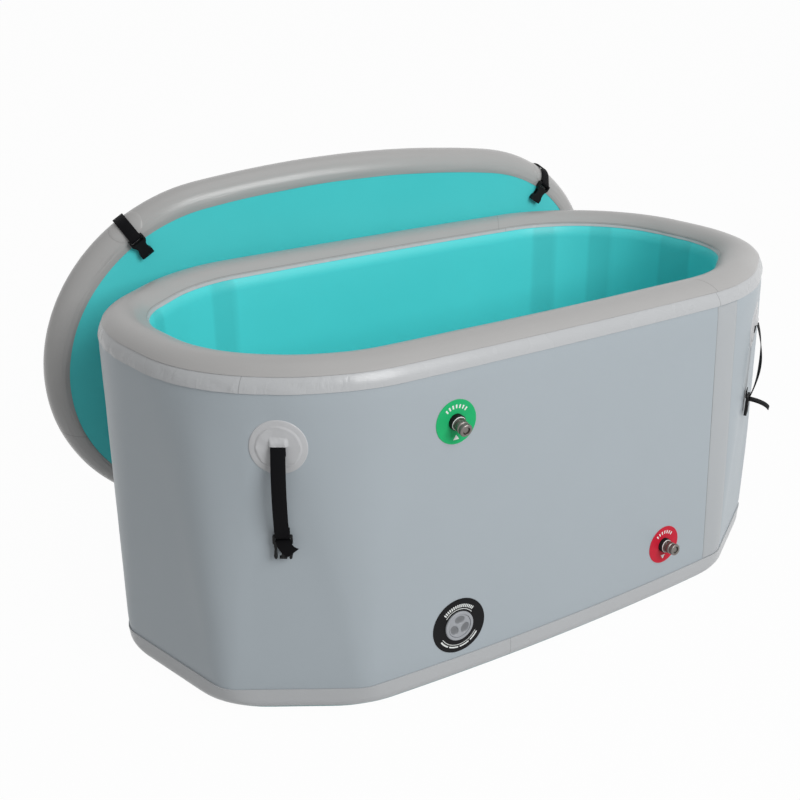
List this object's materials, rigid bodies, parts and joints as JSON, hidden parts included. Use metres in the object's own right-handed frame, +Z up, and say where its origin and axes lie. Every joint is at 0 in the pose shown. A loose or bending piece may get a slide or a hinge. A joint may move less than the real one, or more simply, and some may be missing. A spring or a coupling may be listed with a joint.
{
  "type": "inflatable cold plunge tub",
  "caption": "Inflatable cold plunge tub of drop-stitch fabric with folded, rounded walls, water fittings, inflation valve, strap buckles and an oval inflatable lid leaning on its back rim.",
  "frame": {"origin": "centre of the tub's underside, on the floor", "axes": "+X along the tub, -Y the front with the water fittings, +Z up"},
  "size_m": [1.46, 1.0005, 0.8428],
  "materials": {
    "wall_cloth": "satin",
    "tape_cloth": "satin",
    "teal_cloth": "satin",
    "drop_stitch": "matte",
    "black_plastic": "satin",
    "webbing": "matte",
    "valve_plastic": "satin",
    "green_label": "matte",
    "red_label": "matte",
    "black_label": "matte",
    "seal_rubber": "matte",
    "nipple_metal": "satin",
    "spring_steel": "satin"
  },
  "bodies": {
    "tub": {"wall_air_core": "drop_stitch", "wall_outer_skin": "wall_cloth", "wall_inner_skin": "teal_cloth", "rim_tape": "tape_cloth", "rim_cap_tape": "tape_cloth", "base_tape": "tape_cloth", "wall_seam_strip": "wall_cloth", "floor_air_panel": "teal_cloth", "base_sheet": "teal_cloth", "valve_label_ring": "black_label", "valve_body": "valve_plastic", "valve_spring": "spring_steel", "inlet_label_disc": "green_label", "inlet_bushing": "black_plastic", "inlet_flange_nut": "black_plastic", "inlet_seal_ring": "seal_rubber", "inlet_nipple": "nipple_metal", "inlet_spring": "spring_steel", "outlet_label_disc": "red_label", "outlet_bushing": "black_plastic", "outlet_flange_nut": "black_plastic", "outlet_seal_ring": "seal_rubber", "outlet_nipple": "nipple_metal", "outlet_spring": "spring_steel", "tub_strap_front_left_patch": "tape_cloth", "tub_strap_front_right_patch": "tape_cloth", "tub_strap_rear_left_patch": "tape_cloth", "tub_strap_rear_right_patch": "tape_cloth"},
    "valve_cap": {"valve_cap": "valve_plastic"},
    "valve_stem": {"valve_stem": "valve_plastic"},
    "inlet_poppet": {"inlet_poppet": "nipple_metal"},
    "outlet_poppet": {"outlet_poppet": "nipple_metal"},
    "tub_strap_front_left": {"tub_strap_front_left_webbing": "webbing"},
    "tub_buckle_front_left": {"tub_strap_front_left_buckle": "black_plastic"},
    "tub_strap_front_right": {"tub_strap_front_right_webbing": "webbing"},
    "tub_buckle_front_right": {"tub_strap_front_right_buckle": "black_plastic"},
    "tub_strap_rear_left": {"tub_strap_rear_left_webbing": "webbing"},
    "tub_buckle_rear_left": {"tub_strap_rear_left_buckle": "black_plastic"},
    "tub_strap_rear_right": {"tub_strap_rear_right_webbing": "webbing"},
    "tub_buckle_rear_right": {"tub_strap_rear_right_buckle": "black_plastic"},
    "lid": {"lid_air_core": "drop_stitch", "lid_rail_tape": "tape_cloth", "lid_inner_skin": "teal_cloth", "lid_outer_skin": "wall_cloth", "lid_valve_body": "valve_plastic", "lid_valve_spring": "spring_steel", "lid_strap_upper_left_patch": "tape_cloth", "lid_strap_upper_right_patch": "tape_cloth", "lid_strap_lower_left_patch": "tape_cloth", "lid_strap_lower_right_patch": "tape_cloth"},
    "lid_valve_cap": {"lid_valve_cap": "valve_plastic"},
    "lid_valve_stem": {"lid_valve_stem": "valve_plastic"},
    "lid_strap_upper_left": {"lid_strap_upper_left_webbing": "webbing"},
    "lid_buckle_upper_left": {"lid_strap_upper_left_buckle": "black_plastic"},
    "lid_strap_upper_right": {"lid_strap_upper_right_webbing": "webbing"},
    "lid_buckle_upper_right": {"lid_strap_upper_right_buckle": "black_plastic"},
    "lid_strap_lower_left": {"lid_strap_lower_left_webbing": "webbing"},
    "lid_buckle_lower_left": {"lid_strap_lower_left_buckle": "black_plastic"},
    "lid_strap_lower_right": {"lid_strap_lower_right_webbing": "webbing"},
    "lid_buckle_lower_right": {"lid_strap_lower_right_buckle": "black_plastic"}
  },
  "joints": [
    {"name": "lid_lift", "type": "slide", "parent": "tub", "child": "lid", "axis": [0, 0, 1], "range_m": [0, 0.75]},
    {"name": "tub_strap_front_left_swing", "type": "hinge", "parent": "tub", "child": "tub_strap_front_left", "pos_m": [-0.56371, -0.30217, 0.52994], "axis": [-0.834, 0.5518, 0], "range_deg": [0, 90]},
    {"name": "tub_buckle_front_left_swivel", "type": "hinge", "parent": "tub_strap_front_left", "child": "tub_buckle_front_left", "pos_m": [-0.56431, -0.30308, 0.36992], "axis": [-0.834, 0.5518, 0], "range_deg": [0, 80]},
    {"name": "tub_strap_front_right_swing", "type": "hinge", "parent": "tub", "child": "tub_strap_front_right", "pos_m": [0.56335, -0.30122, 0.52983], "axis": [-0.8123, -0.5833, 0], "range_deg": [0, 90]},
    {"name": "tub_buckle_front_right_swivel", "type": "hinge", "parent": "tub_strap_front_right", "child": "tub_buckle_front_right", "pos_m": [0.56248, -0.30001, 0.36982], "axis": [-0.8123, -0.5833, 0], "range_deg": [0, 80]},
    {"name": "tub_strap_rear_left_swing", "type": "hinge", "parent": "tub", "child": "tub_strap_rear_left", "pos_m": [-0.56335, 0.30122, 0.52983], "axis": [0.8123, 0.5833, 0], "range_deg": [0, 45]},
    {"name": "tub_buckle_rear_left_swivel", "type": "hinge", "parent": "tub_strap_rear_left", "child": "tub_buckle_rear_left", "pos_m": [-0.56248, 0.30001, 0.36982], "axis": [0.8123, 0.5833, 0], "range_deg": [0, 80]},
    {"name": "tub_strap_rear_right_swing", "type": "hinge", "parent": "tub", "child": "tub_strap_rear_right", "pos_m": [0.56371, 0.30217, 0.52994], "axis": [0.834, -0.5518, 0], "range_deg": [0, 20]},
    {"name": "tub_buckle_rear_right_swivel", "type": "hinge", "parent": "tub_strap_rear_right", "child": "tub_buckle_rear_right", "pos_m": [0.56431, 0.30308, 0.36992], "axis": [0.834, -0.5518, 0], "range_deg": [0, 80]},
    {"name": "lid_strap_upper_left_swing", "type": "hinge", "parent": "lid", "child": "lid_strap_upper_left", "pos_m": [-0.50275, 0.49006, 0.72043], "axis": [-0.827, 0.1404, -0.5444], "range_deg": [0, 110]},
    {"name": "lid_buckle_upper_left_swivel", "type": "hinge", "parent": "lid_strap_upper_left", "child": "lid_buckle_upper_left", "pos_m": [-0.52045, 0.39688, 0.72329], "axis": [-0.827, 0.1404, -0.5444], "range_deg": [0, 80]},
    {"name": "lid_strap_upper_right_swing", "type": "hinge", "parent": "lid", "child": "lid_strap_upper_right", "pos_m": [0.49027, 0.43106, 0.72043], "axis": [-0.8378, -0.0415, 0.5444], "range_deg": [0, 110]},
    {"name": "lid_buckle_upper_right_swivel", "type": "hinge", "parent": "lid_strap_upper_right", "child": "lid_buckle_upper_right", "pos_m": [0.49681, 0.33645, 0.72329], "axis": [-0.8378, -0.0415, 0.5444], "range_deg": [0, 80]},
    {"name": "lid_strap_lower_left_swing", "type": "hinge", "parent": "lid", "child": "lid_strap_lower_left", "pos_m": [-0.49697, 0.58733, 0.13814], "axis": [0.8378, 0.0415, -0.5444], "range_deg": [0, 110]},
    {"name": "lid_buckle_lower_left_swivel", "type": "hinge", "parent": "lid_strap_lower_left", "child": "lid_buckle_lower_left", "pos_m": [-0.51431, 0.5002, 0.10481], "axis": [0.8378, 0.0415, -0.5444], "range_deg": [0, 80]},
    {"name": "lid_strap_lower_right_swing", "type": "hinge", "parent": "lid", "child": "lid_strap_lower_right", "pos_m": [0.49605, 0.52833, 0.13814], "axis": [0.827, -0.1404, 0.5444], "range_deg": [0, 110]},
    {"name": "lid_buckle_lower_right_swivel", "type": "hinge", "parent": "lid_strap_lower_right", "child": "lid_buckle_lower_right", "pos_m": [0.50295, 0.43976, 0.10481], "axis": [0.827, -0.1404, 0.5444], "range_deg": [0, 80]},
    {"name": "valve_cap_turn", "type": "hinge", "parent": "tub", "child": "valve_cap", "pos_m": [-0.25, -0.3747, 0.12], "axis": [-0.0405, -0.9991, 0.0101], "range_deg": [0, 90]},
    {"name": "valve_stem_push", "type": "slide", "parent": "tub", "child": "valve_stem", "axis": [0.0405, 0.9991, -0.0101], "range_m": [0, 0.006], "stiffness_N_per_m": 600, "springref_m": -0.005, "deforming": ["valve_spring"]},
    {"name": "lid_valve_cap_turn", "type": "hinge", "parent": "lid", "child": "lid_valve_cap", "pos_m": [-0.00366, 0.50398, 0.42841], "axis": [0.0585, 0.9845, 0.165], "range_deg": [0, 90]},
    {"name": "lid_valve_stem_push", "type": "slide", "parent": "lid", "child": "lid_valve_stem", "axis": [-0.0585, -0.9845, -0.165], "range_m": [0, 0.006], "stiffness_N_per_m": 600, "springref_m": -0.005, "deforming": ["lid_valve_spring"]},
    {"name": "inlet_poppet_push", "type": "slide", "parent": "tub", "child": "inlet_poppet", "axis": [0.0319, 0.9777, 0.2077], "range_m": [0, 0.005], "stiffness_N_per_m": 900, "springref_m": -0.004, "deforming": ["inlet_spring"]},
    {"name": "outlet_poppet_push", "type": "slide", "parent": "tub", "child": "outlet_poppet", "axis": [-0.04, 0.9962, -0.0777], "range_m": [0, 0.005], "stiffness_N_per_m": 900, "springref_m": -0.004, "deforming": ["outlet_spring"]}
  ]
}
